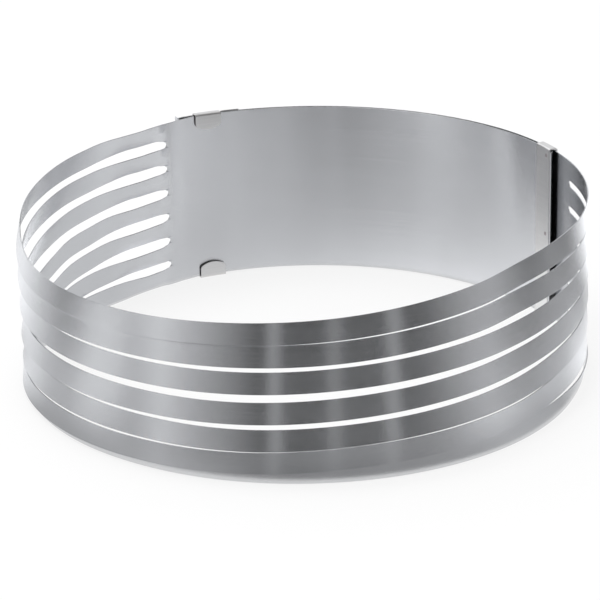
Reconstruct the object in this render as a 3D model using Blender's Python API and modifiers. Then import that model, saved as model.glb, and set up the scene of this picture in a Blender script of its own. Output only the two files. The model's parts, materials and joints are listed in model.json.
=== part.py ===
"""Adjustable cake ring: one slotted spring steel strip and the two clips that hold its ends together.

The strip lies in a shallow spiral, seen from above and counted anticlockwise from +X. Its inner end
lies at the back right. It runs over the back, the left, the front and the right, and then once more
over the back, outside its own inner end. Six long slots divide the free part into seven ribs.
The ring opens by bending, so the strip is divided into short bodies with an upright hinge at each cut.
"""

import math
from collections import namedtuple

import bmesh
import bpy
from mathutils import Vector

# The strip
RING_RADIUS = 0.128          # middle of the strip's thickness, at the front, at the smallest setting
STRIP_WIDTH = 0.0845         # from its lower edge to its upper edge
STRIP_THICKNESS = 0.0005
LAYER_GAP = 0.0012           # air between the two layers where the strip overlaps itself
RIB_COUNT = 7
SLOT_WIDTH = 0.0031
LIP_LENGTH = 0.0041          # the bent edge at each end
LIP_BEND = 48.0              # degrees away from the strip
LIP_BEND_RADIUS = 0.0012
LIP_BEND_STEPS = 3

# Where things lie round the ring, in degrees
FRONT = 269.25
INNER_END = 22.5
SLOTS_START = 122.2
SLOTS_END = 375.3
OUTER_END = 478.0
LEFT_CUT = 131.0             # where the left comb's stubs end
RIGHT_CUT = 368.0            # where the right comb's stubs end
WALL_BODIES = 4              # bodies from each end of the strip to its comb's stubs
RIB_BODIES = 6               # bodies along the free ribs
STEP = 3.6                   # longest step along the strip
STUB_STEP = 1.5              # the same along a comb's stubs, where the ribs twist
SHARP_EDGE = 30.0            # between faces shaded as one surface, at most

# The clips
CLIP_THICKNESS = 0.0006
HOOK_WIDTH = 0.0135
HOOK_DROP = 0.0078           # how far a hook's tab reaches down, or up, over the layer it holds
HOOK_CLEARANCE = 0.0011      # between that layer and the tab
HOOK_INSET = 0.0020          # from an end of the strip to its clip's hooks
OUTER_HOOK_INSET = 0.0072
OUTER_PLATE_LENGTH = 0.0300
TAB_CORNER = 0.0022

# Clearances
CUT_GAP = 0.0005             # between neighbouring bodies of the strip
SEAT_GAP = 0.0003            # between a clip and the strip
RIB_PASS = 0.0012            # how far the sixth rib lies outside the seventh where it hangs over it

# How the ribs hang
RIB_LEAN = 28.0              # degrees, the most that a rib's lower edge swings out
WALL_SWELL = 0.0030          # the most that the strip leaves its spiral

# The spring steel
STEEL = (0.60, 0.60, 0.62, 1.0)
CLIP_STEEL = (0.68, 0.67, 0.66, 1.0)
STEEL_ROUGHNESS = 0.30
CLIP_ROUGHNESS = 0.38

# Stations along the slots, each a share of the way from SLOTS_START to SLOTS_END
station_shares = (0.000, 0.008, 0.019, 0.031, 0.043, 0.055, 0.067, 0.081, 0.094, 0.126, 0.161,
                  0.228, 0.268, 0.307, 0.430, 0.533, 0.620, 0.718, 0.762, 0.817, 0.868, 1.000)

# How open each slot is at those stations, as shares of the slot's width. Below zero the rib above
# hangs over the rib below.
opening_shares = (
    (1.00, 1.03, 1.04, 1.04, 1.03, 1.06, 1.09, 1.08, 1.06, 1.05, 1.15,
     1.40, 0.66, 0.20, -0.10, 0.15, 0.35, 0.65, 0.85, 1.09, 1.05, 1.00),
    (1.00, 1.09, 1.11, 1.11, 1.12, 1.12, 1.12, 1.13, 1.15, 1.31, 1.54,
     1.63, 1.15, 0.72, 0.78, 0.84, 0.82, 1.17, 1.54, 1.21, 1.09, 1.00),
    (1.00, 1.09, 1.12, 1.12, 1.18, 1.15, 1.12, 1.25, 1.38, 1.47, 1.93,
     1.79, 1.47, 1.37, 1.31, 1.36, 1.31, 1.26, 1.17, 1.17, 1.09, 1.00),
    (1.00, 1.04, 1.04, 1.04, 1.03, 1.05, 1.06, 1.02, 0.99, 1.09, 1.11,
     0.82, 0.72, 0.66, 0.76, 0.94, 1.00, 1.19, 1.31, 1.15, 1.11, 1.00),
    (1.00, 1.10, 1.12, 1.11, 1.09, 1.11, 1.12, 1.00, 0.88, 0.82, 0.66,
     0.66, 0.60, 0.53, 0.42, 0.25, 0.21, 0.37, 0.41, 0.55, 0.78, 1.00),
    (1.00, 0.90, 0.89, 0.90, 0.86, 0.75, 0.60, 0.42, 0.22, -0.30, -1.27,
     -2.08, -2.24, -2.24, -2.09, -1.76, -1.01, -0.37, 0.07, 0.60, 0.74, 1.00),
)

# How far the other ribs' lower edges swing out, as shares of RIB_LEAN
lean_shares = (0.00, 0.60, 0.86, 0.91, 0.89, 0.62, 0.41, 0.21, 0.14, 0.12, 0.16,
               0.38, 0.47, 0.54, 0.58, 0.58, 0.58, 0.64, 0.64, 0.53, 0.28, 0.00)

# How far the sixth rib lies outside, as shares of RIB_PASS
pass_shares = (0.00, 0.00, 0.00, 0.00, 0.00, 0.10, 0.30, 0.60, 0.90, 1.00, 1.00,
               1.00, 1.00, 1.00, 1.00, 1.00, 1.00, 1.00, 1.00, 0.30, 0.00, 0.00)

# How far the seventh rib's lower edge swings out. Below zero its upper edge stands out.
lowest_lean_shares = (0.00, 0.50, 0.71, 0.75, 0.43, 0.10, 0.00, 0.00, 0.00, 0.00, 0.00,
                      0.00, 0.00, 0.00, 0.00, 0.00, 0.00, 0.00, -0.03, -0.25, -0.49, 0.00)

# How far the seventh rib has settled from the clips' height to the table, by degrees
SETTLE_ANGLES = (114.0, 118.0, 122.2, 131.0, 279.0, 304.0, 315.0, 329.0, 342.0, 375.3)
settle_shares = (0.00, 0.55, 0.95, 1.00, 1.00, 0.92, 0.82, 0.65, 0.45, 0.00)

# Where the strip leaves its spiral, in degrees, and by which share of WALL_SWELL
SWELL_ANGLES = (117.0, 131.0, 150.0, 170.0, 190.0, 215.0, 240.0)
swell_shares = (0.0, -1.0, -0.45, 0.20, 0.70, 0.35, 0.0)

# The bodies of the strip, in order from its inner end's side
SECTORS = ("back_left", "left", "front_left", "front", "front_right", "right")
INNER_PIECES = ("inner_comb", "inner_wall_left", "inner_wall_right", "inner_end")
OUTER_PIECES = ("outer_comb", "outer_wall_right", "outer_wall_left", "outer_end")

Body = namedtuple("Body", "pivot place")

# Worked out from the sizes above
LAYER_PITCH = STRIP_THICKNESS + LAYER_GAP
RIB_HEIGHT = (STRIP_WIDTH - (RIB_COUNT - 1) * SLOT_WIDTH) / RIB_COUNT
STRIP_FOOT = CLIP_THICKNESS + SEAT_GAP
STRIP_TOP = STRIP_FOOT + STRIP_WIDTH
PLATE_OFFSET = STRIP_THICKNESS / 2 + SEAT_GAP + CLIP_THICKNESS / 2
HOOK_REACH = LAYER_PITCH + STRIP_THICKNESS / 2 + HOOK_CLEARANCE + CLIP_THICKNESS / 2


def full_turn():
    return math.degrees(math.tau)


def smooth_value(places, values, place):
    """The smooth curve through the values at the given places, level at both ends."""
    if place <= places[0]:
        return values[0]
    if place >= places[-1]:
        return values[-1]
    index = max(i for i, known in enumerate(places) if known <= place)

    def slope(i):
        if i in (0, len(places) - 1):
            return 0.0
        return (values[i + 1] - values[i - 1]) / (places[i + 1] - places[i - 1])

    span = places[index + 1] - places[index]
    t = (place - places[index]) / span
    rise = t * t * (3 - 2 * t)
    leave = t * (1 - t) * (1 - t)
    arrive = t * t * (t - 1)
    return (values[index] * (1 - rise) + values[index + 1] * rise
            + span * (slope(index) * leave + slope(index + 1) * arrive))


def slot_share(angle):
    return (angle - SLOTS_START) / (SLOTS_END - SLOTS_START)


def at_stations(shares, angle):
    return smooth_value(station_shares, shares, slot_share(angle))


def spiral_radius(angle):
    swell = WALL_SWELL * smooth_value(SWELL_ANGLES, swell_shares, angle)
    return RING_RADIUS + LAYER_PITCH * (angle - FRONT) / full_turn() + swell


def around(angle, radius, height):
    turn = math.radians(angle)
    return Vector((radius * math.cos(turn), radius * math.sin(turn), height))


def lowest_rib_foot(angle):
    return STRIP_FOOT * (1 - smooth_value(SETTLE_ANGLES, settle_shares, angle))


def rib_lean(rib, angle):
    """How far a rib's lower edge swings out, in radians. Rib 1 is the top one."""
    if rib == RIB_COUNT:
        return math.radians(RIB_LEAN * at_stations(lowest_lean_shares, angle))
    lean = math.radians(RIB_LEAN * at_stations(lean_shares, angle))
    if rib == RIB_COUNT - 1:
        lean *= 1 - at_stations(pass_shares, angle) / 2
    return lean


def rib_middle(rib, angle):
    """The height of a rib's middle."""
    lean = abs(rib_lean(RIB_COUNT, angle))
    middle = lowest_rib_foot(angle) + (RIB_HEIGHT * math.cos(lean) + STRIP_THICKNESS * math.sin(lean)) / 2
    for slot in range(rib, RIB_COUNT):
        middle += RIB_HEIGHT + SLOT_WIDTH * at_stations(opening_shares[slot - 1], angle)
    return middle


def rib_edges(rib, angle):
    """Height and radial offset of a rib's upper and lower edge."""
    lean = rib_lean(rib, angle)
    half_height = RIB_HEIGHT * math.cos(lean) / 2
    half_swing = RIB_HEIGHT * math.sin(lean) / 2
    middle = rib_middle(rib, angle)
    aside = RIB_PASS * at_stations(pass_shares, angle) if rib == RIB_COUNT - 1 else 0.0
    return (middle + half_height, aside - half_swing), (middle - half_height, aside + half_swing)


def rib_point(rib, angle, share_down):
    """A point on a rib's middle surface, share_down of the way from its upper edge to its lower."""
    (top, top_offset), (bottom, bottom_offset) = rib_edges(rib, angle)
    height = top + (bottom - top) * share_down
    offset = top_offset + (bottom_offset - top_offset) * share_down
    return around(angle, spiral_radius(angle) + offset, height)


def even_steps(start, end, step=STEP):
    count = max(1, math.ceil(abs(end - start) / step))
    return [start + (end - start) * i / count for i in range(count + 1)]


def gap_angle(angle):
    """Half of the gap at a cut, in degrees."""
    return math.degrees(CUT_GAP / 2 / spiral_radius(angle))


def flat_grid(columns, rows):
    """A unit grid whose vertices carry their column and row, both counted from zero."""
    mesh = bmesh.new()
    bmesh.ops.create_grid(mesh, x_segments=columns, y_segments=rows, size=1)
    column_of = mesh.verts.layers.int.new("column")
    row_of = mesh.verts.layers.int.new("row")
    for vertex in mesh.verts:
        vertex[column_of] = round((vertex.co.x + 1) / 2 * columns)
        vertex[row_of] = round((1 - vertex.co.y) / 2 * rows)
    return mesh, column_of, row_of


def steel(name, colour, roughness):
    material = bpy.data.materials.new(name)
    material.use_nodes = True
    shader = material.node_tree.nodes["Principled BSDF"]
    shader.inputs["Base Color"].default_value = colour
    shader.inputs["Metallic"].default_value = 1.0
    shader.inputs["Roughness"].default_value = roughness
    material.diffuse_color = colour
    return material


def add_sheet(name, mesh, thickness, body, material, collection):
    """The middle surface in mesh becomes a sheet metal object that hangs on its body's pivot."""
    for vertex in mesh.verts:
        vertex.co -= body.place
    data = bpy.data.meshes.new(name)
    mesh.to_mesh(data)
    mesh.free()
    data.materials.append(material)
    data.shade_smooth()
    data.set_sharp_from_angle(angle=math.radians(SHARP_EDGE))
    piece = bpy.data.objects.new(name, data)
    piece.parent = body.pivot
    collection.objects.link(piece)
    wall = piece.modifiers.new("Thickness", "SOLIDIFY")
    wall.thickness = thickness
    wall.offset = 0.0
    wall.use_even_offset = True
    return piece


def add_rib(name, rib, start, end, body, material, collection):
    angles = even_steps(start + gap_angle(start), end - gap_angle(end))
    mesh, column_of, row_of = flat_grid(len(angles) - 1, 1)
    for vertex in mesh.verts:
        vertex.co = rib_point(rib, angles[vertex[column_of]], vertex[row_of])
    return add_sheet(name, mesh, STRIP_THICKNESS, body, material, collection)


def add_comb(name, solid_end, slot_end, stub_end, body, material, collection):
    """The wall from solid_end to the slots' ends, with the ribs' stubs as far as stub_end."""
    forward = 1 if stub_end > solid_end else -1
    solid_start = solid_end + forward * gap_angle(solid_end)
    wall_angles = even_steps(solid_start, slot_end + forward * slot_radius_angle(slot_end))
    stub_angles = even_steps(wall_angles[-1], stub_end - forward * gap_angle(stub_end), STUB_STEP)
    angles = wall_angles + stub_angles[1:]
    slot_column = len(wall_angles) - 1
    rows = comb_rows()
    mesh, column_of, row_of = flat_grid(len(angles) - 1, len(rows) - 1)
    slot_faces = []
    for face in mesh.faces:
        first_row = min(vertex[row_of] for vertex in face.verts)
        first_column = min(vertex[column_of] for vertex in face.verts)
        if rows[first_row][1] == 1.0 or rows[first_row][2]:
            if first_column >= slot_column:
                slot_faces.append(face)
    bmesh.ops.delete(mesh, geom=slot_faces, context="FACES")
    for vertex in mesh.verts:
        rib, share_down, in_slot = rows[vertex[row_of]]
        angle = angles[vertex[column_of]]
        if not in_slot:
            vertex.co = rib_point(rib, angle, share_down)
            continue
        upper = rib_point(rib, angle, 1.0)
        lower = rib_point(rib + 1, angle, 0.0)
        height = upper.z + (lower.z - upper.z) * share_down
        if vertex[column_of] == slot_column:
            from_middle = 1 - 2 * share_down
            angle -= forward * slot_radius_angle(slot_end) * math.sqrt(1 - from_middle ** 2)
        vertex.co = around(angle, spiral_radius(angle), height)
    if forward < 0:
        bmesh.ops.reverse_faces(mesh, faces=mesh.faces)
    return add_sheet(name, mesh, STRIP_THICKNESS, body, material, collection)


def slot_radius_angle(angle):
    return math.degrees(SLOT_WIDTH / 2 / spiral_radius(angle))


def comb_rows():
    """Rows from top to bottom: the rib, the share of the way down, and whether it is inside a slot."""
    end_steps = 4
    rows = []
    for rib in range(1, RIB_COUNT + 1):
        rows.append((rib, 0.0, False))
        rows.append((rib, 1.0, False))
        if rib < RIB_COUNT:
            for step in range(1, end_steps):
                share = (1 - math.cos(math.pi * step / end_steps)) / 2
                rows.append((rib, share, True))
    return rows


def lip_path(angle, forward, outward):
    """Points of the bent edge beyond an end of the strip, from the end on, in plan."""
    start = around(angle, spiral_radius(angle), 0.0)
    turn = math.radians(angle)
    along = Vector((-math.sin(turn), math.cos(turn), 0.0)) * forward
    aside = Vector((math.cos(turn), math.sin(turn), 0.0)) * outward
    points = []
    for step in range(1, LIP_BEND_STEPS + 1):
        bend = math.radians(LIP_BEND) * step / LIP_BEND_STEPS
        points.append(start + LIP_BEND_RADIUS * (math.sin(bend) * along + (1 - math.cos(bend)) * aside))
    bend = math.radians(LIP_BEND)
    arc_length = LIP_BEND_RADIUS * bend
    points.append(points[-1] + (LIP_LENGTH - arc_length) * (math.cos(bend) * along + math.sin(bend) * aside))
    return points


def add_wall(name, start, end, body, material, collection, lip_at=None):
    """A plain piece of the strip. lip_at is -1 for a lip before its start, 1 for one after its end."""
    first = start if lip_at == -1 else start + gap_angle(start)
    last = end if lip_at == 1 else end - gap_angle(end)
    plan = [around(angle, spiral_radius(angle), 0.0) for angle in even_steps(first, last)]
    if lip_at == -1:
        plan = list(reversed(lip_path(start, -1, -1))) + plan
    if lip_at == 1:
        plan = plan + lip_path(end, 1, 1)
    mesh, column_of, row_of = flat_grid(len(plan) - 1, 1)
    for vertex in mesh.verts:
        height = STRIP_TOP - STRIP_WIDTH * vertex[row_of]
        vertex.co = plan[vertex[column_of]] + Vector((0.0, 0.0, height))
    return add_sheet(name, mesh, STRIP_THICKNESS, body, material, collection)


def add_clip(name, plate, hook, side, body, material, collection):
    """A clip over the angles in plate, hooked over the angles in hook.

    side is 1 for a plate outside the strip with hooks inward, and -1 the other way round.
    """
    hook_angles = [hook[0] + (hook[1] - hook[0]) * share for share in tab_corner_shares(hook)]
    before = even_steps(plate[0], hook[0])[:-1] if plate[0] < hook[0] else []
    after = even_steps(hook[1], plate[1])[1:] if plate[1] > hook[1] else []
    angles = before + hook_angles + after
    top = STRIP_TOP + SEAT_GAP + CLIP_THICKNESS / 2
    foot = CLIP_THICKNESS / 2
    mesh, column_of, row_of = flat_grid(len(angles) - 1, 5)
    outside_hook = []
    first_hook_column = len(before)
    last_hook_column = first_hook_column + len(hook_angles) - 1
    for face in mesh.faces:
        columns = [vertex[column_of] for vertex in face.verts]
        first_row = min(vertex[row_of] for vertex in face.verts)
        beyond = min(columns) < first_hook_column or max(columns) > last_hook_column
        if first_row != 2 and beyond:
            outside_hook.append(face)
    bmesh.ops.delete(mesh, geom=outside_hook, context="FACES")
    for vertex in mesh.verts:
        angle = angles[vertex[column_of]]
        strip = spiral_radius(angle)
        plate_radius = strip + side * PLATE_OFFSET
        tab_radius = strip - side * HOOK_REACH
        at_corner = vertex[column_of] in (first_hook_column, last_hook_column)
        drop = HOOK_DROP - (TAB_CORNER if at_corner else 0.0)
        radius, height = (
            (tab_radius, top - drop),
            (tab_radius, top),
            (plate_radius, top),
            (plate_radius, foot),
            (tab_radius, foot),
            (tab_radius, foot + drop),
        )[vertex[row_of]]
        vertex.co = around(angle, radius, height)
    return add_sheet(name, mesh, CLIP_THICKNESS, body, material, collection)


def tab_corner_shares(hook):
    """Columns across a hook, closer together where its tab's corners are cut off."""
    width = math.radians(hook[1] - hook[0]) * RING_RADIUS
    corner = TAB_CORNER / width
    return (0.0, corner, 0.5, 1 - corner, 1.0)


def degrees_of(length):
    return math.degrees(length / RING_RADIUS)


def add_body(name, angle, parent, collection):
    """The upright hinge axis at a cut, which hangs on the pivot of the body that carries it."""
    place = around(angle, spiral_radius(angle), 0.0) if parent else Vector()
    pivot = bpy.data.objects.new(name, None)
    pivot.location = place - parent.place if parent else place
    pivot.parent = parent.pivot if parent else None
    collection.objects.link(pivot)
    return Body(pivot, place)


def add_rib_body(sector, start, end, body, material, collection):
    for rib in range(1, RIB_COUNT + 1):
        add_rib(f"rib_{rib}_{sector}", rib, start, end, body, material, collection)


def centre_on_origin(pivot, collection):
    """Moves the whole ring so that its box stands centred on the origin."""
    bpy.context.view_layer.update()
    graph = bpy.context.evaluated_depsgraph_get()
    corners = []
    for piece in collection.objects:
        if piece.type == "MESH":
            shown = piece.evaluated_get(graph)
            corners += [shown.matrix_world @ Vector(corner) for corner in shown.bound_box]
    for axis in (0, 1):
        values = [corner[axis] for corner in corners]
        pivot.location[axis] -= (min(values) + max(values)) / 2


def main():
    for existing in list(bpy.data.objects):
        bpy.data.objects.remove(existing)
    collection = bpy.data.collections.new("adjustable_cake_ring")
    bpy.context.scene.collection.children.link(collection)
    strip_steel = steel("strip_steel", STEEL, STEEL_ROUGHNESS)
    clip_steel = steel("clip_steel", CLIP_STEEL, CLIP_ROUGHNESS)

    rib_cuts = [LEFT_CUT + (RIGHT_CUT - LEFT_CUT) * i / RIB_BODIES for i in range(RIB_BODIES + 1)]
    inner_cuts = [LEFT_CUT + (INNER_END - LEFT_CUT) * i / WALL_BODIES for i in range(WALL_BODIES + 1)]
    outer_cuts = [RIGHT_CUT + (OUTER_END - RIGHT_CUT) * i / WALL_BODIES for i in range(WALL_BODIES + 1)]
    root_index = SECTORS.index("front")

    front = add_body("front_pivot", FRONT, None, collection)
    add_rib_body("front", rib_cuts[root_index], rib_cuts[root_index + 1], front, strip_steel, collection)

    body = front
    for index in range(root_index + 1, RIB_BODIES):
        body = add_body(f"{SECTORS[index]}_pivot", rib_cuts[index], body, collection)
        add_rib_body(SECTORS[index], rib_cuts[index], rib_cuts[index + 1], body, strip_steel, collection)
    for index, name in enumerate(OUTER_PIECES):
        start, end = outer_cuts[index], outer_cuts[index + 1]
        body = add_body(f"{name}_pivot", start, body, collection)
        if index == 0:
            add_comb(name, end, SLOTS_END, start, body, strip_steel, collection)
        else:
            lip_at = 1 if index == WALL_BODIES - 1 else None
            add_wall(name, start, end, body, strip_steel, collection, lip_at)
    plate = (OUTER_END - degrees_of(HOOK_INSET / 2 + OUTER_PLATE_LENGTH), OUTER_END - degrees_of(HOOK_INSET / 2))
    hook_start = OUTER_END - degrees_of(OUTER_HOOK_INSET + HOOK_WIDTH)
    hook = (hook_start, hook_start + degrees_of(HOOK_WIDTH))
    add_clip("outer_end_clip", plate, hook, 1, body, clip_steel, collection)

    body = front
    for index in range(root_index - 1, -1, -1):
        body = add_body(f"{SECTORS[index]}_pivot", rib_cuts[index + 1], body, collection)
        add_rib_body(SECTORS[index], rib_cuts[index], rib_cuts[index + 1], body, strip_steel, collection)
    for index, name in enumerate(INNER_PIECES):
        start, end = inner_cuts[index], inner_cuts[index + 1]
        body = add_body(f"{name}_pivot", start, body, collection)
        if index == 0:
            add_comb(name, end, SLOTS_START, start, body, strip_steel, collection)
        else:
            lip_at = -1 if index == WALL_BODIES - 1 else None
            add_wall(name, end, start, body, strip_steel, collection, lip_at)
    hook = (INNER_END + degrees_of(HOOK_INSET), INNER_END + degrees_of(HOOK_INSET + HOOK_WIDTH))
    add_clip("inner_end_clip", hook, hook, -1, body, clip_steel, collection)

    centre_on_origin(front.pivot, collection)


main()
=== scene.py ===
"""Adjustable cake ring: the looks of its slotted steel strip and its two end clips.

The strip lies in a shallow spiral, seen from above and counted anticlockwise from +X. Its inner end
lies at the back right. It runs over the back, the left, the front and the right, and then once more
over the back, outside its own inner end. Each piece of it reaches from the middle of one body of the
frame to the middle of the next.
"""

import json
import math

import bmesh
import bpy
from mathutils import Matrix, Vector

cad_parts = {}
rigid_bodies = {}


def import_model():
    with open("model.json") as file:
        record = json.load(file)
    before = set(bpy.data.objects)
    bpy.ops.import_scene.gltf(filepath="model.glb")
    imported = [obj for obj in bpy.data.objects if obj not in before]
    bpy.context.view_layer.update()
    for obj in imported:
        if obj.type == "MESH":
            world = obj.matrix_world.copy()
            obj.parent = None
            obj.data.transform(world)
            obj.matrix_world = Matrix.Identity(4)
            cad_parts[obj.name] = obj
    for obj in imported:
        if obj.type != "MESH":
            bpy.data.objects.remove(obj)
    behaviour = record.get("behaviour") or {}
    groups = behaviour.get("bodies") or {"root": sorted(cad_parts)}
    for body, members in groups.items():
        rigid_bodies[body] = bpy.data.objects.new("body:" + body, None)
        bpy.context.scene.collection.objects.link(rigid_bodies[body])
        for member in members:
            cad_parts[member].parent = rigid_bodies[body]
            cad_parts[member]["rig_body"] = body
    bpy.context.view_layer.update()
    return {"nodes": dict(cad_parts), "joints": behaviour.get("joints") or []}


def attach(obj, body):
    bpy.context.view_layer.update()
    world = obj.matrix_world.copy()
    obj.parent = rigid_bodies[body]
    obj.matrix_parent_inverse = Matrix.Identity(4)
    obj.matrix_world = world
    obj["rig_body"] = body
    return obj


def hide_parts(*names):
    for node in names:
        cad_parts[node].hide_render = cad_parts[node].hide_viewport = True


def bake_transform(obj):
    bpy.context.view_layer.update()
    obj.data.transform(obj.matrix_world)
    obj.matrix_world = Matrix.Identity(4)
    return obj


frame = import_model()

# The strip. Lengths are in metres and angles in degrees.
RING_RADIUS = 0.128
STRIP_WIDTH = 0.0845
STRIP_THICKNESS = 0.0005
LAYER_GAP = 0.0012            # air between the two layers where the strip overlaps itself
RIB_COUNT = 7
SLOT_WIDTH = 0.0031
INNER_LIP_LENGTH = 0.0030
INNER_LIP_BEND = 48.0
OUTER_LIP_LENGTH = 0.0045
OUTER_LIP_BEND = 104.0
LIP_BEND_RADIUS = 0.0012
LIP_BEND_STEPS = 8

# Where things lie round the ring
FRONT = 269.25
INNER_END = 22.5
SLOTS_START = 122.2
SLOTS_END = 375.3
OUTER_END = 478.0
LEFT_CUT = 131.0              # between the left comb and the free ribs
RIGHT_CUT = 368.0             # between the free ribs and the right comb
WALL_BODIES = 4               # from each end of the strip to the free ribs
RIB_BODIES = 6

# The clips
CLIP_THICKNESS = 0.0006
HOOK_WIDTH = 0.0135
HOOK_DROP = 0.0078            # how far a hook's tab reaches over the layer that it holds
HOOK_CLEARANCE = 0.0008       # between that layer and the tab
INNER_HOOK_INSET = 0.0006     # from the inner end to its clip
INNER_HOOK_WIDTH = 0.0120
OUTER_HOOK_INSET = 0.0072     # from the outer end to its clip's hooks
OUTER_PLATE_INSET = 0.0010    # from the outer end to its clip's plate
OUTER_PLATE_LENGTH = 0.0300
TAB_CORNER = 0.0012
TAB_CURVE = 0.0020            # how far a tab's edge falls back from its middle to its sides
BEND_RADIUS = 0.0007
BEND_STEPS = 8
CORNER_STEPS = 5
PLATE_EDGE_DROP = 0.0003      # from the hook's top to the plate's edge beside it
CLIP_STEP = 0.8               # between a plate's columns

# The spot welds on the inner clip
WELD_RADIUS = 0.0011
WELD_HEIGHT = 0.00018
WELD_SINK = 0.00010
WELD_TOP_SHARE = 0.7          # how wide a weld's flat top is, as a share of its foot
WELD_SIDES = 16
WELD_PLACES = (0.0038, 0.0432, 0.0825)      # their heights above the table
WELD_INSET = 0.0036

# Clearances
SEAT_GAP = 0.0003             # between a clip and the strip
RIB_PASS = 0.0012             # how far the sixth rib lies outside the seventh where it hangs over it

# How the ribs hang
RIB_LEAN = 28.0               # the most that a rib's lower edge swings out
WALL_SWELL = 0.0030           # the most that the strip leaves its spiral

# How finely the strip is made
STEP = 0.60                   # between the strip's columns
SEAM_STEP = 0.03              # the thin columns at the cuts, which keep the shading whole across them
RIB_ROWS = 2
SLOT_END_STEPS = 14
SLOT_END_ROOM = 0.6           # between a slot's end and the nearest column, as a share of its radius
EDGE_BEVEL = 0.00010
EDGE_SEGMENTS = 2
SHARP_EDGE = 15.0

# Stations along the slots, each a share of the way from SLOTS_START to SLOTS_END
station_shares = (0.000, 0.008, 0.019, 0.031, 0.043, 0.055, 0.067, 0.081, 0.094, 0.126, 0.161,
                  0.228, 0.268, 0.307, 0.430, 0.533, 0.620, 0.718, 0.762, 0.817, 0.868, 1.000)

# How open each slot is at those stations, as shares of the slot's width. From 0.008 to 0.067 they come
# mostly from a scratch program, which worked them out from the ribs' edges in the photo. The leans there
# began the same way.
opening_shares = (
    (1.00, 1.03, 1.04, 1.04, 1.03, 1.06, 1.09, 1.08, 1.06, 1.05, 1.15,
     1.40, 0.66, 0.20, -0.10, 0.15, 0.35, 0.65, 0.85, 1.09, 1.05, 1.00),
    (1.00, 1.09, 1.11, 1.11, 1.12, 1.12, 1.12, 1.13, 1.15, 1.31, 1.54,
     1.63, 1.15, 0.72, 0.78, 0.84, 0.82, 1.17, 1.54, 1.21, 1.09, 1.00),
    (1.00, 1.09, 1.12, 1.12, 1.18, 1.15, 1.12, 1.25, 1.38, 1.47, 1.93,
     1.79, 1.47, 1.37, 1.31, 1.36, 1.31, 1.26, 1.17, 1.17, 1.09, 1.00),
    (1.00, 1.04, 1.04, 1.04, 1.03, 1.05, 1.06, 1.02, 0.99, 1.09, 1.11,
     0.82, 0.72, 0.66, 0.76, 0.94, 1.00, 1.19, 1.31, 1.15, 1.11, 1.00),
    (1.00, 1.10, 1.12, 1.11, 1.09, 1.11, 1.12, 1.00, 0.88, 0.82, 0.66,
     0.66, 0.60, 0.53, 0.38, 0.12, 0.08, 0.30, 0.41, 0.55, 0.78, 1.00),
    (1.00, 0.89, 0.85, 0.83, 0.78, 0.70, 0.63, 0.53, 0.38, -0.14, -1.20,
     -2.08, -2.24, -2.24, -2.05, -1.63, -0.88, -0.30, 0.07, 0.60, 0.74, 1.00),
)

# How far the other ribs' lower edges swing out, as shares of RIB_LEAN
lean_shares = (0.00, 0.56, 0.68, 0.74, 0.78, 0.66, 0.43, 0.23, 0.14, 0.12, 0.16,
               0.38, 0.47, 0.54, 0.58, 0.58, 0.58, 0.64, 0.64, 0.53, 0.28, 0.00)

# How far the sixth rib lies outside, as shares of RIB_PASS
pass_shares = (0.00, 0.00, 0.00, 0.00, 0.00, 0.10, 0.30, 0.60, 0.90, 1.00, 1.00,
               1.00, 1.00, 1.00, 1.00, 1.00, 1.00, 1.00, 1.00, 0.30, 0.00, 0.00)

# How far the seventh rib's lower edge swings out. Below zero its upper edge stands out.
lowest_lean_shares = (0.00, 0.46, 0.60, 0.62, 0.40, 0.10, 0.00, 0.00, 0.00, 0.00, 0.00,
                      0.00, 0.00, 0.00, 0.00, 0.00, 0.00, 0.00, -0.03, -0.25, -0.49, 0.00)

# How far the seventh rib has settled from the clips' height to the table, by degrees
SETTLE_ANGLES = (114.0, 118.0, 122.2, 131.0, 279.0, 304.0, 315.0, 329.0, 342.0, 375.3)
settle_shares = (0.00, 0.55, 0.95, 1.00, 1.00, 0.92, 0.82, 0.65, 0.45, 0.00)

# Where the strip leaves its spiral, in degrees, and by which share of WALL_SWELL
SWELL_ANGLES = (117.0, 131.0, 150.0, 170.0, 190.0, 215.0, 240.0)
swell_shares = (0.0, -1.0, -0.45, 0.20, 0.70, 0.35, 0.0)

# The bodies of the frame, in order along the strip
BODIES = ("inner_end", "inner_wall_right", "inner_wall_left", "inner_comb",
          "back_left", "left", "front_left", "front", "front_right", "right",
          "outer_comb", "outer_wall_right", "outer_wall_left", "outer_end")

# The steel
STRIP_COLOUR = (0.70, 0.705, 0.72)
STREAK_COLOUR = (0.645, 0.650, 0.662)
CLIP_COLOUR = (0.74, 0.73, 0.72)
CLIP_STREAK_COLOUR = (0.66, 0.655, 0.65)
WELD_COLOUR = (0.50, 0.44, 0.44)      # tinted by the heat
WELD_STREAK_COLOUR = (0.42, 0.38, 0.39)
STRIP_ROUGHNESS = (0.20, 0.24)        # the least and the most
CLIP_ROUGHNESS = (0.28, 0.36)
WELD_ROUGHNESS = (0.35, 0.45)
STRIP_ANISOTROPY = 0.90
CLIP_ANISOTROPY = 0.45
WELD_ANISOTROPY = 0.0
BRUSH_ACROSS = 0.25                   # a quarter turn, so that highlights stretch across the brushing

# The brushing: how often each pattern repeats in a metre along the strip and in a metre up
STREAK_DENSITY = (9.0, 1300.0, 1.0)
STREAK_DETAIL = 3.0
CLOUD_DENSITY = (26.0, 11.0, 1.0)
CLOUD_DETAIL = 2.0
CLOUD_SHARE = 0.5                     # of the tint, the rest is the streaks'
GROOVE_DENSITY = (6000.0, 40000.0, 1.0)
GROOVE_DETAIL = 0.0
GROOVE_TILT = 0.8
BRUSH_DEPTH = 0.0000012
NOISE_LOW = 0.3
NOISE_HIGH = 0.7

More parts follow.
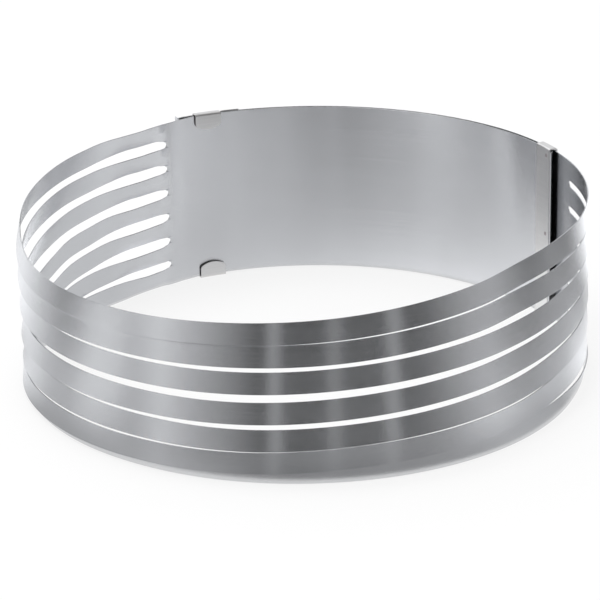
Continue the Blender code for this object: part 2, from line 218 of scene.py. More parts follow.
# The camera, fitted to the photograph
CAMERA_LENS = 154.56
CAMERA_SENSOR = 36.0
CAMERA_DISTANCE = 1.1809
CAMERA_ELEVATION = 20.938
CAMERA_ROLL = -1.23
CAMERA_AIM_HEIGHT = 0.04533
CAMERA_SHIFT = (-0.0092, -0.0450)
CLIP_RANGE = (0.05, 50.0)

# The studio
FLOOR_SIZE = 12.0
PAPER_GREY = 0.85
PAPER_GLOW = 0.80
WHITE = (1.0, 1.0, 1.0, 1.0)
CARD_TINT = (0.985, 0.995, 1.015)
NEAR_CARD_START = 0.1300
TABLE_CARD_START = 0.190
INNER_CARD_START = 0.001
INNER_CARD_END = 0.1255
INNER_MIDDLE_SHARE = 0.6              # the inner card's strength in its middle
CARD_DISTANCE = 1.6
CARD_HEIGHT = 1.5
CARD_LIFT = 0.0010                    # above the floor
CARD_SIDES = 96
CEILING_IN_REFLECTIONS = 0.35         # how bright the white room is where the steel reflects it
SOFTBOX_SIZE = (1.2, 0.8)
SOFTBOX_POWER = 8.0
SOFTBOX_PLACE = (-0.4, 0.3, 1.4)

# Worked out from the sizes above
FULL_TURN = math.degrees(math.tau)
LAYER_PITCH = STRIP_THICKNESS + LAYER_GAP
RIB_HEIGHT = (STRIP_WIDTH - (RIB_COUNT - 1) * SLOT_WIDTH) / RIB_COUNT
STRIP_FOOT = CLIP_THICKNESS + SEAT_GAP
STRIP_TOP = STRIP_FOOT + STRIP_WIDTH
PLATE_OFFSET = STRIP_THICKNESS / 2 + SEAT_GAP + CLIP_THICKNESS / 2
HOOK_REACH = LAYER_PITCH + STRIP_THICKNESS / 2 + HOOK_CLEARANCE + CLIP_THICKNESS / 2
HOOK_TOP = STRIP_TOP + SEAT_GAP + CLIP_THICKNESS / 2
HOOK_FOOT = CLIP_THICKNESS / 2


# Shape of the strip

def smooth_value(places, values, place):
    """The smooth curve through the values at the given places, level at both ends."""
    if place <= places[0]:
        return values[0]
    if place >= places[-1]:
        return values[-1]
    index = max(i for i, known in enumerate(places) if known <= place)

    def slope(i):
        if i in (0, len(places) - 1):
            return 0.0
        return (values[i + 1] - values[i - 1]) / (places[i + 1] - places[i - 1])

    span = places[index + 1] - places[index]
    t = (place - places[index]) / span
    rise = t * t * (3 - 2 * t)
    leave = t * (1 - t) * (1 - t)
    arrive = t * t * (t - 1)
    return (values[index] * (1 - rise) + values[index + 1] * rise
            + span * (slope(index) * leave + slope(index + 1) * arrive))


def at_stations(shares, angle):
    return smooth_value(station_shares, shares, (angle - SLOTS_START) / (SLOTS_END - SLOTS_START))


def spiral_radius(angle):
    swell = WALL_SWELL * smooth_value(SWELL_ANGLES, swell_shares, angle)
    return RING_RADIUS + LAYER_PITCH * (angle - FRONT) / FULL_TURN + swell


def from_centre(angle, radius, height):
    turn = math.radians(angle)
    return Vector((radius * math.cos(turn), radius * math.sin(turn), height))


def evenly(start, end, count):
    return [start + (end - start) * i / count for i in range(count + 1)]


def body_cuts():
    """The angles at which the strip's bodies meet, from its inner end to its outer end."""
    inner = evenly(INNER_END, LEFT_CUT, WALL_BODIES)
    ribs = evenly(LEFT_CUT, RIGHT_CUT, RIB_BODIES)
    outer = evenly(RIGHT_CUT, OUTER_END, WALL_BODIES)
    return inner + ribs[1:] + outer[1:]


def find_ring_centre():
    """The spiral's centre in the frame, from the place of one hinge."""
    cut = body_cuts()[BODIES.index("front_right")]
    hinge = next(joint for joint in frame["joints"] if joint["child"] == "front_right")
    place = Vector(hinge["pos_m"]) - from_centre(cut, spiral_radius(cut), 0.0)
    return Vector((place.x, place.y, 0.0))


ring_centre = find_ring_centre()


def around(angle, radius, height):
    return ring_centre + from_centre(angle, radius, height)


def lowest_rib_foot(angle):
    return STRIP_FOOT * (1 - smooth_value(SETTLE_ANGLES, settle_shares, angle))


def rib_lean(rib, angle):
    """How far a rib's lower edge swings out, in radians. Rib 1 is the top one."""
    if rib == RIB_COUNT:
        return math.radians(RIB_LEAN * at_stations(lowest_lean_shares, angle))
    lean = math.radians(RIB_LEAN * at_stations(lean_shares, angle))
    if rib == RIB_COUNT - 1:
        lean *= 1 - at_stations(pass_shares, angle) / 2
    return lean


def rib_middle(rib, angle):
    """The height of a rib's middle."""
    lean = abs(rib_lean(RIB_COUNT, angle))
    lowest_rib_height = RIB_HEIGHT * math.cos(lean) + STRIP_THICKNESS * math.sin(lean)
    middle = lowest_rib_foot(angle) + lowest_rib_height / 2
    for slot in range(rib, RIB_COUNT):
        middle += RIB_HEIGHT + SLOT_WIDTH * at_stations(opening_shares[slot - 1], angle)
    return middle


def rib_edges(rib, angle):
    """Height and radial offset of a rib's upper and lower edge."""
    lean = rib_lean(rib, angle)
    half_height = RIB_HEIGHT * math.cos(lean) / 2
    half_swing = RIB_HEIGHT * math.sin(lean) / 2
    middle = rib_middle(rib, angle)
    aside = RIB_PASS * at_stations(pass_shares, angle) if rib == RIB_COUNT - 1 else 0.0
    return (middle + half_height, aside - half_swing), (middle - half_height, aside + half_swing)


def rib_point(rib, angle, share_down):
    """A point on a rib's middle surface, share_down of the way from its upper edge to its lower."""
    (top, top_offset), (bottom, bottom_offset) = rib_edges(rib, angle)
    height = top + (bottom - top) * share_down
    offset = top_offset + (bottom_offset - top_offset) * share_down
    return around(angle, spiral_radius(angle) + offset, height)


def degrees_of(length):
    return math.degrees(length / RING_RADIUS)


def lip_path(angle, forward, outward, length, whole_bend):
    """Points of the bent edge beyond an end of the strip, from the end on, in plan."""
    start = around(angle, spiral_radius(angle), 0.0)
    turn = math.radians(angle)
    along = Vector((-math.sin(turn), math.cos(turn), 0.0)) * forward
    aside = Vector((math.cos(turn), math.sin(turn), 0.0)) * outward
    points = []
    for step in range(1, LIP_BEND_STEPS + 1):
        bend = whole_bend * step / LIP_BEND_STEPS
        points.append(start + LIP_BEND_RADIUS * (math.sin(bend) * along + (1 - math.cos(bend)) * aside))
    flat_length = length - LIP_BEND_RADIUS * whole_bend
    straight_on = math.cos(whole_bend) * along + math.sin(whole_bend) * aside
    points.append(points[-1] + flat_length * straight_on)
    return points


# Making meshes

def flat_grid(columns, rows):
    """A unit grid whose vertices carry their column and row, both counted from zero."""
    mesh = bmesh.new()
    bmesh.ops.create_grid(mesh, x_segments=columns, y_segments=rows, size=1)
    column_of = mesh.verts.layers.int.new("column")
    row_of = mesh.verts.layers.int.new("row")
    for vertex in mesh.verts:
        vertex[column_of] = round((vertex.co.x + 1) / 2 * columns)
        vertex[row_of] = round((1 - vertex.co.y) / 2 * rows)
    return mesh, column_of, row_of


def add_object(name, mesh, material):
    data = bpy.data.meshes.new(name)
    mesh.to_mesh(data)
    mesh.free()
    data.materials.append(material)
    thing = bpy.data.objects.new(name, data)
    bpy.context.scene.collection.objects.link(thing)
    return thing


def lay_out(mesh, near):
    """The map that the brushing follows: metres along the strip and metres up.

    near is an angle on the piece.
    """
    layout = mesh.loops.layers.uv.new("layout")
    for face in mesh.faces:
        for loop in face.loops:
            place = loop.vert.co - ring_centre
            turn = math.degrees(math.atan2(place.y, place.x)) - near
            angle = near + math.remainder(turn, FULL_TURN)
            loop[layout].uv = (math.radians(angle) * RING_RADIUS, place.z)


def add_piece(name, mesh, material, near):
    lay_out(mesh, near)
    piece = add_object(name, mesh, material)
    piece.data.shade_smooth()
    piece.data.set_sharp_from_angle(angle=math.radians(SHARP_EDGE))
    return piece


def thicken(mesh, thickness, cut_columns=()):
    """The middle surface becomes sheet metal with broken edges, which stay whole at the cut columns."""
    column_of = mesh.verts.layers.int["column"]
    mesh.normal_update()
    for vertex in mesh.verts:
        vertex.co += vertex.normal * thickness / 2
    bmesh.ops.solidify(mesh, geom=mesh.faces[:], thickness=thickness)
    bmesh.ops.recalc_face_normals(mesh, faces=mesh.faces)
    mesh.normal_update()
    sharp = math.radians(SHARP_EDGE)
    corners = []
    for edge in mesh.edges:
        first, last = (vertex[column_of] for vertex in edge.verts)
        at_cut = first == last and first in cut_columns
        if not at_cut and edge.calc_face_angle() > sharp:
            corners.append(edge)
    bmesh.ops.bevel(mesh, geom=corners, offset=EDGE_BEVEL, segments=EDGE_SEGMENTS, profile=0.5,
                    affect="EDGES", material=-1)


def slot_radius_angle(angle):
    return math.degrees(SLOT_WIDTH / 2 / spiral_radius(angle))


FIRST_SLOT_ANGLE = SLOTS_START + slot_radius_angle(SLOTS_START)
LAST_SLOT_ANGLE = SLOTS_END - slot_radius_angle(SLOTS_END)


def strip_rows(start, end):
    """Rows from top to bottom: the rib, the share of the way down, and whether it is inside a slot."""
    with_slot_end = start < FIRST_SLOT_ANGLE < end or start < LAST_SLOT_ANGLE < end
    rows = []
    for rib in range(1, RIB_COUNT + 1):
        rows += [(rib, share, False) for share in evenly(0.0, 1.0, RIB_ROWS)]
        if rib < RIB_COUNT and with_slot_end:
            for step in range(1, SLOT_END_STEPS):
                share = (1 - math.cos(math.pi * step / SLOT_END_STEPS)) / 2
                rows.append((rib, share, True))
    return rows


def strip_angles(start, end):
    """Columns from start to end, with one at each slot end's widest place and a thin one at each cut."""
    stops = [start + SEAM_STEP, end - SEAM_STEP]
    if start < FIRST_SLOT_ANGLE < end:
        stops[1:1] = [SLOTS_START - slot_radius_angle(SLOTS_START) * SLOT_END_ROOM, FIRST_SLOT_ANGLE]
    if start < LAST_SLOT_ANGLE < end:
        stops[1:1] = [LAST_SLOT_ANGLE, SLOTS_END + slot_radius_angle(SLOTS_END) * SLOT_END_ROOM]
    angles = [start, start + SEAM_STEP]
    for first, last in zip(stops, stops[1:]):
        count = math.ceil((last - first) / STEP)
        if FIRST_SLOT_ANGLE == last or LAST_SLOT_ANGLE == first:
            count = 1
        angles += evenly(first, last, count)[1:]
    return angles + [end]


def strip_columns(start, end, lip_at):
    """The angle of each column and, for those of a lip, the place in plan."""
    columns = [(angle, None) for angle in strip_angles(start, end)]
    if lip_at == -1:
        lip = lip_path(start, -1, -1, INNER_LIP_LENGTH, math.radians(INNER_LIP_BEND))
        columns = [(start, point) for point in reversed(lip)] + columns[2:]
    if lip_at == 1:
        lip = lip_path(end, 1, 1, OUTER_LIP_LENGTH, math.radians(OUTER_LIP_BEND))
        columns = columns[:-2] + [(end, point) for point in lip]
    return columns


def add_strip(name, start, end, material, lip_at=None):
    """The strip from start to end. lip_at is -1 for a lip before its start, 1 for one after its end."""
    rows = strip_rows(start, end)
    columns = strip_columns(start, end, lip_at)
    mesh, column_of, row_of = flat_grid(len(columns) - 1, len(rows) - 1)

    def in_slots(face):
        angles = [columns[vertex[column_of]][0] for vertex in face.verts]
        row_numbers = [vertex[row_of] for vertex in face.verts]
        upper_rib, _, upper_in_slot = rows[min(row_numbers)]
        lower_rib, _, lower_in_slot = rows[max(row_numbers)]
        inside_rib = upper_rib == lower_rib and not upper_in_slot and not lower_in_slot
        return not inside_rib and min(angles) >= FIRST_SLOT_ANGLE and max(angles) <= LAST_SLOT_ANGLE

    bmesh.ops.delete(mesh, geom=[face for face in mesh.faces if in_slots(face)], context="FACES")
    for vertex in mesh.verts:
        rib, share_down, between_ribs = rows[vertex[row_of]]
        angle, lip_place = columns[vertex[column_of]]
        if between_ribs:
            vertex.co = rib_point(rib, angle, 1.0).lerp(rib_point(rib + 1, angle, 0.0), share_down)
        else:
            vertex.co = rib_point(rib, angle, share_down)
        if lip_place:
            vertex.co = Vector((lip_place.x, lip_place.y, vertex.co.z))
        elif between_ribs and angle in (FIRST_SLOT_ANGLE, LAST_SLOT_ANGLE):
            from_middle = 1 - 2 * share_down
            away = slot_radius_angle(angle) * math.sqrt(1 - from_middle ** 2)
            end_angle = angle + (away if angle == LAST_SLOT_ANGLE else -away)
            vertex.co = around(end_angle, spiral_radius(end_angle), vertex.co.z)
    cut_columns = set()
    if lip_at != -1:
        cut_columns.add(0)
    if lip_at != 1:
        cut_columns.add(len(columns) - 1)
    thicken(mesh, STRIP_THICKNESS, cut_columns)
    return add_piece(name, mesh, material, (start + end) / 2)


# The clips

def hook_profile(side):
    """A clip's section through its hooks, from the upper tab's edge to the lower tab's edge.

    Each point is the offset from the strip's middle and the height. side is 1 for a plate outside.
    """
    plate = side * PLATE_OFFSET
    tab = -side * HOOK_REACH
    inward = -side

    def bend(corner_offset, corner_height, from_up, to_aside):
        points = []
        for step in range(BEND_STEPS + 1):
            turn = math.pi / 2 * step / BEND_STEPS
            back = BEND_RADIUS * (1 - math.sin(turn))
            over = BEND_RADIUS * (1 - math.cos(turn))
            points.append((corner_offset + to_aside * over, corner_height - from_up * back))
        return points

    upper_tab_bend = bend(tab, HOOK_TOP, 1, -inward)
    upper_plate_bend = list(reversed(bend(plate, HOOK_TOP, 1, inward)))
    lower_plate_bend = bend(plate, HOOK_FOOT, -1, inward)
    lower_tab_bend = list(reversed(bend(tab, HOOK_FOOT, -1, -inward)))
    return upper_tab_bend + upper_plate_bend, lower_plate_bend + lower_tab_bend


def tab_drop(share):
    """How far a tab reaches at a share of the way across it: a shallow curve with rounded corners."""
    curved = HOOK_DROP - TAB_CURVE * (2 * share - 1) ** 2
    from_edge = min(share, 1 - share) * HOOK_WIDTH
    if from_edge >= TAB_CORNER:
        return curved
    return curved - TAB_CORNER + math.sqrt(TAB_CORNER ** 2 - (TAB_CORNER - from_edge) ** 2)


def hook_shares():
    """Columns across a hook, closer together at its rounded corners."""
    corner = TAB_CORNER / HOOK_WIDTH
    rounded = [corner * (1 - math.cos(math.pi / 2 * i / CORNER_STEPS)) for i in range(CORNER_STEPS + 1)]
    middle = evenly(corner, 1 - corner, CORNER_STEPS)[1:-1]
    return rounded + middle + [1 - share for share in reversed(rounded)]


def add_clip(name, plate, hook, side, material):
    """A clip over the angles in plate, hooked over the angles in hook."""
    hook_angles = [hook[0] + (hook[1] - hook[0]) * share for share in hook_shares()]
    before, after = [], []
    if plate[0] < hook[0]:
        before = evenly(plate[0], hook[0], math.ceil((hook[0] - plate[0]) / CLIP_STEP))[:-1]
    if plate[1] > hook[1]:
        after = evenly(hook[1], plate[1], math.ceil((plate[1] - hook[1]) / CLIP_STEP))[1:]
    angles = before + hook_angles + after
    upper, lower = hook_profile(side)
    plate_row = len(upper)
    profile_rows = 1 + len(upper) + len(lower) + 1
    mesh, column_of, row_of = flat_grid(len(angles) - 1, profile_rows - 1)
    last_hook_column = len(before) + len(hook_angles) - 1
    outside_hook = []
    for face in mesh.faces:
        columns = [vertex[column_of] for vertex in face.verts]
        first_row = min(vertex[row_of] for vertex in face.verts)
        beyond = min(columns) < len(before) or max(columns) > last_hook_column
        if beyond and first_row != plate_row:
            outside_hook.append(face)
    bmesh.ops.delete(mesh, geom=outside_hook, context="FACES")
    for vertex in mesh.verts:
        angle = angles[vertex[column_of]]
        share = (angle - hook[0]) / (hook[1] - hook[0])
        drop = tab_drop(min(max(share, 0.0), 1.0))
        row = vertex[row_of]
        if row == 0:
            offset, height = -side * HOOK_REACH, HOOK_TOP - drop
        elif row == profile_rows - 1:
            offset, height = -side * HOOK_REACH, HOOK_FOOT + drop
        else:
            offset, height = (upper + lower)[row - 1]
        beside_hook = share < 0
        if row == plate_row and beside_hook:
            height = HOOK_TOP - PLATE_EDGE_DROP
        vertex.co = around(angle, spiral_radius(angle) + offset, height)
    thicken(mesh, CLIP_THICKNESS)
    return add_piece(name, mesh, material, hook[0])


def add_weld(name, angle, height, offset, outward, material):
    """A spot weld's shallow button on the face at offset from the strip's middle."""
    mesh = bmesh.new()
    bmesh.ops.create_circle(mesh, cap_ends=True, segments=WELD_SIDES, radius=WELD_RADIUS)
    button = bmesh.ops.extrude_face_region(mesh, geom=mesh.faces[:])["geom"]
    raised = [part for part in button if isinstance(part, bmesh.types.BMVert)]
    bmesh.ops.translate(mesh, verts=raised, vec=(0.0, 0.0, WELD_SINK + WELD_HEIGHT))
    bmesh.ops.scale(mesh, verts=raised, vec=(WELD_TOP_SHARE, WELD_TOP_SHARE, 1.0))
    bmesh.ops.recalc_face_normals(mesh, faces=mesh.faces)
    turn = math.radians(angle)
    out = Vector((math.cos(turn), math.sin(turn), 0.0)) * outward
    place = around(angle, spiral_radius(angle) + offset, height) - out * WELD_SINK
    matrix = Matrix.Translation(place) @ out.to_track_quat("Z", "Y").to_matrix().to_4x4()
    bmesh.ops.transform(mesh, matrix=matrix, verts=mesh.verts)
    return add_piece(name, mesh, material, angle)


# Materials

def start_material(name):
    """A new material with its nodes and links."""
    material = bpy.data.materials.new(name)
    material.use_nodes = True
    return material, material.node_tree.nodes, material.node_tree.links


def calculate(nodes, links, operation, *values):
    """A math node's result. Each value is a number or what another node gives."""
    node = nodes.new("ShaderNodeMath")
    node.operation = operation
    for entry, value in zip(node.inputs, values):
        if isinstance(value, bpy.types.NodeSocket):
            links.new(value, entry)
        else:
            entry.default_value = value
    return node.outputs["Value"]


def brushed_steel(name, colour, streak_colour, roughness, anisotropy):
    """Steel brushed along the strip: streaks and clouds in its tint, and fine grooves in its shine."""
    material, nodes, links = start_material(name)
    shader = nodes["Principled BSDF"]
    shader.inputs["Metallic"].default_value = 1.0
    shader.inputs["Anisotropic"].default_value = anisotropy
    shader.inputs["Anisotropic Rotation"].default_value = BRUSH_ACROSS
    layout = nodes.new("ShaderNodeUVMap")
    layout.uv_map = "layout"

    def noise(density, detail):
        mapping = nodes.new("ShaderNodeMapping")
        mapping.inputs["Scale"].default_value = density
        texture = nodes.new("ShaderNodeTexNoise")
        texture.inputs["Scale"].default_value = 1.0
        texture.inputs["Detail"].default_value = detail
        links.new(layout.outputs["UV"], mapping.inputs["Vector"])
        links.new(mapping.outputs["Vector"], texture.inputs["Vector"])
        return texture.outputs["Fac"]

    def spread(value, low, high):
        span = nodes.new("ShaderNodeMapRange")
        span.inputs["From Min"].default_value = NOISE_LOW
        span.inputs["From Max"].default_value = NOISE_HIGH
        span.inputs["To Min"].default_value = low
        span.inputs["To Max"].default_value = high
        links.new(value, span.inputs["Value"])
        return span.outputs["Result"]

    streaks = noise(STREAK_DENSITY, STREAK_DETAIL)
    clouds = noise(CLOUD_DENSITY, CLOUD_DETAIL)
    tint = nodes.new("ShaderNodeMix")
    tint.data_type = "RGBA"
    tint.inputs["A"].default_value = (*streak_colour, 1.0)
    tint.inputs["B"].default_value = (*colour, 1.0)
    streaks_and_clouds = calculate(nodes, links, "MULTIPLY_ADD", spread(streaks, 0.0, 1.0),
                                   1 - CLOUD_SHARE, spread(clouds, 0.0, CLOUD_SHARE))
    links.new(streaks_and_clouds, tint.inputs["Factor"])
    links.new(tint.outputs["Result"], shader.inputs["Base Color"])
    links.new(spread(streaks, roughness[0], roughness[1]), shader.inputs["Roughness"])
    bump = nodes.new("ShaderNodeBump")
    bump.inputs["Distance"].default_value = BRUSH_DEPTH
    links.new(streaks, bump.inputs["Height"])
    grooves = noise(GROOVE_DENSITY, GROOVE_DETAIL)
    grooved = across_grooves(nodes, links, grooves, bump.outputs["Normal"])
    links.new(grooved, shader.inputs["Normal"])
    tangent = nodes.new("ShaderNodeTangent")
    tangent.direction_type = "UV_MAP"
    tangent.uv_map = "layout"
    links.new(tangent.outputs["Tangent"], shader.inputs["Tangent"])
    return material


def across_grooves(nodes, links, grooves, normal):
    """Tilts a normal up and down by the walls of the brushing's grooves, too fine for a bump."""
    tilt = calculate(nodes, links, "MULTIPLY_ADD", grooves, GROOVE_TILT, -GROOVE_TILT / 2)
    upward = nodes.new("ShaderNodeCombineXYZ")
    links.new(tilt, upward.inputs["Z"])
    tilted = nodes.new("ShaderNodeVectorMath")
    tilted.operation = "ADD"
    links.new(normal, tilted.inputs[0])
    links.new(upward.outputs["Vector"], tilted.inputs[1])
    unit = nodes.new("ShaderNodeVectorMath")
    unit.operation = "NORMALIZE"
    links.new(tilted.outputs["Vector"], unit.inputs[0])
    return unit.outputs["Vector"]


def shadow_catching_white(name):
    """White to the camera and in reflections, and darker where the object shades it."""
    material, nodes, links = start_material(name)
    nodes.remove(nodes["Principled BSDF"])
    output = nodes["Material Output"]
    paper = nodes.new("ShaderNodeBsdfDiffuse")
    paper.inputs["Color"].default_value = (PAPER_GREY, PAPER_GREY, PAPER_GREY, 1.0)
    glow = nodes.new("ShaderNodeEmission")
    glow.inputs["Color"].default_value = WHITE
    path = nodes.new("ShaderNodeLightPath")
    mirrored = calculate(nodes, links, "MAXIMUM", path.outputs["Is Glossy Ray"],
                         path.outputs["Is Transmission Ray"])
    seen = calculate(nodes, links, "MAXIMUM", path.outputs["Is Camera Ray"], mirrored)
    mix = nodes.new("ShaderNodeMixShader")
    links.new(calculate(nodes, links, "MULTIPLY", seen, PAPER_GLOW), mix.inputs["Fac"])
    links.new(paper.outputs["BSDF"], mix.inputs[1])
    links.new(glow.outputs["Emission"], mix.inputs[2])
    links.new(mix.outputs["Shader"], output.inputs["Surface"])
    return material


# The studio

# The cards round the ring are seen only in reflections, as a photographer's cards are. Each has a row of
# directions, in degrees from +X, with how bright the card is there. The near card lies on the table
# close to the ring, and the table card beyond it. The standing card stands all round at the table card's
# rim, and the inner card lies inside the ring. Most of the strengths weren't chosen by hand: a scratch
# program fitted them to the photo's light and dark bands, and they were then rounded and thinned.
near_card_lights = (
    (0, 1.3), (20, 1.0), (35, 0.1), (60, 0.4), (90, 0.9), (120, 1.8), (135, 1.9), (150, 1.1),
    (165, 0.7), (180, 1.0), (200, 0.5), (230, 0.5), (264, 0.3), (300, 0.4), (315, 0.6), (335, 0.5))
table_card_lights = (
    (0, 0.8), (10, 0.8), (20, 0.3), (44, 1.9), (60, 1.2), (90, 0.7), (125, 0.8), (150, 1.2), (180, 0.7),
    (200, 1.9), (215, 0.4), (240, 0.0), (262, 0.6), (288, 0.7), (310, 0.5), (328, 1.5), (340, 1.2))
standing_card_lights = (
    (0, 0.0), (45, 0.0), (60, 0.4), (80, 1.0), (105, 1.0), (120, 2.2), (130, 2.2), (140, 0.3),
    (166, 0.0), (171, 0.1), (184, 0.4), (201, 0.5), (212, 1.1), (222, 0.8), (236, 0.5), (252, 0.0),
    (256, 0.5), (260, 0.0), (274, 0.0), (278, 0.3), (282, 0.0), (296, 0.0), (300, 0.5), (304, 0.0),
    (320, 0.2), (340, 0.3))
inner_card_lights = (
    (0, 1.2), (45, 1.2), (90, 0.9), (180, 0.7), (225, 0.7), (270, 0.8))


def card_glow(name, lights, rim=CARD_DISTANCE, middle_share=1.0):
    """Glows by direction, and rises from middle_share in the middle to its whole strength at the rim."""
    material, nodes, links = start_material(name)
    nodes.remove(nodes["Principled BSDF"])
    coordinates = nodes.new("ShaderNodeTexCoord")
    split = nodes.new("ShaderNodeSeparateXYZ")
    links.new(coordinates.outputs["Object"], split.inputs["Vector"])
    direction = calculate(nodes, links, "ARCTAN2", split.outputs["Y"], split.outputs["X"])
    turns = calculate(nodes, links, "DIVIDE", direction, math.tau)
    turn_share = calculate(nodes, links, "FRACT", turns)
    ramp = nodes.new("ShaderNodeValToRGB")
    stops = ramp.color_ramp.elements
    while len(stops) > 1:
        stops.remove(stops[-1])
    first_strength = lights[0][1]
    for index, (angle, strength) in enumerate((*lights, (FULL_TURN, first_strength))):
        share = angle / FULL_TURN
        stop = stops[0] if index == 0 else stops.new(share)
        stop.position = share
        stop.color = (*(strength * part for part in CARD_TINT), 1.0)
    links.new(turn_share, ramp.inputs["Fac"])
    distance = nodes.new("ShaderNodeVectorMath")
    distance.operation = "LENGTH"
    links.new(coordinates.outputs["Object"], distance.inputs[0])
    fade = nodes.new("ShaderNodeMapRange")
    fade.inputs["From Max"].default_value = rim
    fade.inputs["To Min"].default_value = middle_share
    links.new(distance.outputs["Value"], fade.inputs["Value"])
    glow = nodes.new("ShaderNodeEmission")
    links.new(ramp.outputs["Color"], glow.inputs["Color"])
    links.new(fade.outputs["Result"], glow.inputs["Strength"])
    links.new(glow.outputs["Emission"], nodes["Material Output"].inputs["Surface"])
    return material


def add_card(name, profile_start, profile_end, material):
    """The line between two points at (distance, height), spun round the ring."""
    mesh = bmesh.new()
    ends = [mesh.verts.new((distance, 0.0, height)) for distance, height in (profile_start, profile_end)]
    bmesh.ops.spin(mesh, geom=[*ends, mesh.edges.new(ends)], cent=(0.0, 0.0, 0.0), axis=(0.0, 0.0, 1.0),
                   angle=math.tau, steps=CARD_SIDES, use_merge=True)
    card = add_object(name, mesh, material)
    card.visible_camera = False
    card.visible_diffuse = False
    card.visible_transmission = False
    card.visible_shadow = False


def add_floor():
    mesh = bmesh.new()
    bmesh.ops.create_grid(mesh, x_segments=1, y_segments=1, size=FLOOR_SIZE / 2)
    floor = add_object("floor", mesh, shadow_catching_white("white_paper"))


def add_cards():
    corner = (CARD_DISTANCE, CARD_LIFT)
    add_card("near_card", (NEAR_CARD_START, CARD_LIFT), (TABLE_CARD_START, CARD_LIFT),
             card_glow("near_card_glow", near_card_lights))
    add_card("table_card", (TABLE_CARD_START, CARD_LIFT), corner,
             card_glow("table_card_glow", table_card_lights))
    add_card("standing_card", corner, (CARD_DISTANCE, CARD_HEIGHT),
             card_glow("standing_card_glow", standing_card_lights))
    add_card("inner_card", (INNER_CARD_START, CARD_LIFT), (INNER_CARD_END, CARD_LIFT),
             card_glow("inner_card_glow", inner_card_lights, INNER_CARD_END, INNER_MIDDLE_SHARE))


def add_white_room():
    """White to the camera and on the floor, and dimmer in reflections."""
    world = bpy.data.worlds.new("studio")
    bpy.context.scene.world = world
    world.use_nodes = True
    nodes, links = world.node_tree.nodes, world.node_tree.links
    background = nodes["Background"]
    background.inputs["Color"].default_value = WHITE
    path = nodes.new("ShaderNodeLightPath")
    ceiling = nodes.new("ShaderNodeMapRange")
    ceiling.inputs["To Min"].default_value = 1.0
    ceiling.inputs["To Max"].default_value = CEILING_IN_REFLECTIONS
    links.new(path.outputs["Is Glossy Ray"], ceiling.inputs["Value"])
    links.new(ceiling.outputs["Result"], background.inputs["Strength"])


def add_softbox():
    lamp_data = bpy.data.lights.new("overhead_softbox", "AREA")
    lamp_data.shape = "RECTANGLE"
    lamp_data.size, lamp_data.size_y = SOFTBOX_SIZE
    lamp_data.energy = SOFTBOX_POWER
    lamp = bpy.data.objects.new("overhead_softbox", lamp_data)
    lamp.location = SOFTBOX_PLACE
    lamp.rotation_mode = "QUATERNION"
    lamp.rotation_quaternion = lamp.location.to_track_quat("Z", "Y")
    bpy.context.scene.collection.objects.link(lamp)


def add_camera():
    data = bpy.data.cameras.new("camera")
    data.lens = CAMERA_LENS
    data.sensor_width = CAMERA_SENSOR
    data.shift_x, data.shift_y = CAMERA_SHIFT
    data.clip_start, data.clip_end = CLIP_RANGE
    camera = bpy.data.objects.new("camera", data)
    elevation, roll = math.radians(CAMERA_ELEVATION), math.radians(CAMERA_ROLL)
    back = Vector((0.0, -math.cos(elevation), math.sin(elevation)))
    right = Vector((1.0, 0.0, 0.0))
    up = back.cross(right)
    across = math.cos(roll) * right + math.sin(roll) * up
    upright = math.cos(roll) * up - math.sin(roll) * right
    turn = Matrix((across, upright, back)).transposed()
    aim = ring_centre + Vector((0.0, 0.0, CAMERA_AIM_HEIGHT))
    camera.matrix_world = Matrix.Translation(aim + back * CAMERA_DISTANCE) @ turn.to_4x4()
    bpy.context.scene.collection.objects.link(camera)
    bpy.context.scene.camera = camera


# The ring

def nodes_of(body):
    return [name for name, node in frame["nodes"].items()
            if node["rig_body"] == body and not name.endswith("clip")]


def add_ring():
    strip_steel = brushed_steel("brushed_strip", STRIP_COLOUR, STREAK_COLOUR,
                                STRIP_ROUGHNESS, STRIP_ANISOTROPY)
    clip_steel = brushed_steel("satin_clip", CLIP_COLOUR, CLIP_STREAK_COLOUR,
                               CLIP_ROUGHNESS, CLIP_ANISOTROPY)
    weld_steel = brushed_steel("heat_tinted_weld", WELD_COLOUR, WELD_STREAK_COLOUR,
                               WELD_ROUGHNESS, WELD_ANISOTROPY)
    add_whole_strip(strip_steel)
    add_both_clips(clip_steel, weld_steel)


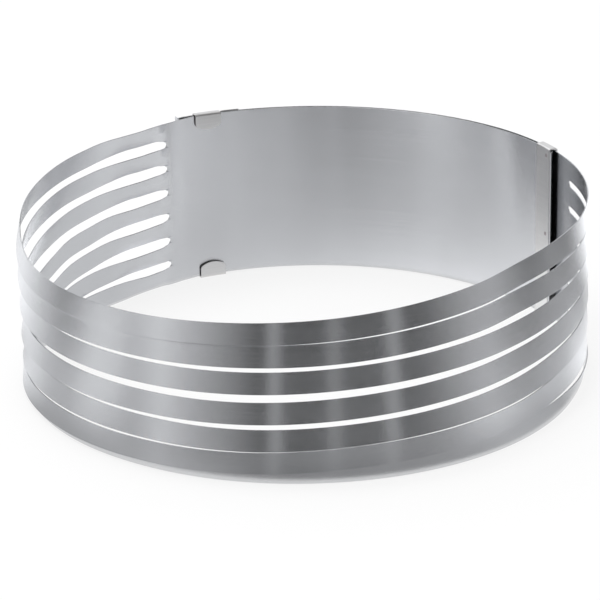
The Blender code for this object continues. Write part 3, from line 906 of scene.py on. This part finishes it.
def add_whole_strip(strip_steel):
    """The two ends ride on their bodies, and each piece between them reaches from one body's middle to
    the next's.
    """
    cuts = body_cuts()
    middles = [(start + end) / 2 for start, end in zip(cuts, cuts[1:])]

    first = add_strip("strip_inner_end", INNER_END, middles[0], strip_steel, lip_at=-1)
    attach(first, BODIES[0])
    last = add_strip("strip_outer_end", middles[-1], OUTER_END, strip_steel, lip_at=1)
    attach(last, BODIES[-1])
    for body, piece in ((BODIES[0], first), (BODIES[-1], last)):
        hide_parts(*nodes_of(body))
    for index in range(len(BODIES) - 1):
        body, following = BODIES[index], BODIES[index + 1]
        start, end = middles[index], middles[index + 1]
        piece = add_strip(f"strip_{body}_to_{following}", start, end, strip_steel)
        around(start, spiral_radius(start), 0.0)
        around(end, spiral_radius(end), 0.0)
        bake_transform(piece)
        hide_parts(*nodes_of(body), *nodes_of(following))


def add_both_clips(clip_steel, weld_steel):
    plate_end = OUTER_END - degrees_of(OUTER_PLATE_INSET)
    plate = (OUTER_END - degrees_of(OUTER_PLATE_INSET + OUTER_PLATE_LENGTH), plate_end)
    hook_start = OUTER_END - degrees_of(OUTER_HOOK_INSET + HOOK_WIDTH)
    hook = (hook_start, hook_start + degrees_of(HOOK_WIDTH))
    outer_clip = add_clip("outer_clip", plate, hook, 1, clip_steel)
    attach(outer_clip, "outer_end")
    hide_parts("outer_end_clip")
    hook_end = INNER_END + degrees_of(INNER_HOOK_INSET + INNER_HOOK_WIDTH)
    hook = (INNER_END + degrees_of(INNER_HOOK_INSET), hook_end)
    inner_clip = add_clip("inner_clip", hook, hook, -1, clip_steel)
    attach(inner_clip, "inner_end")
    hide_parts("inner_end_clip")
    for index, height in enumerate(WELD_PLACES, 1):
        weld = add_weld(f"inner_clip_weld_{index}", INNER_END + degrees_of(WELD_INSET), height,
                        -PLATE_OFFSET - CLIP_THICKNESS / 2, -1, weld_steel)
        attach(weld, "inner_end")
        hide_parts("inner_end_clip")


add_ring()
add_floor()
add_cards()
add_white_room()
add_softbox()
add_camera()

view_settings = bpy.context.scene.view_settings
view_settings.view_transform = "Standard"
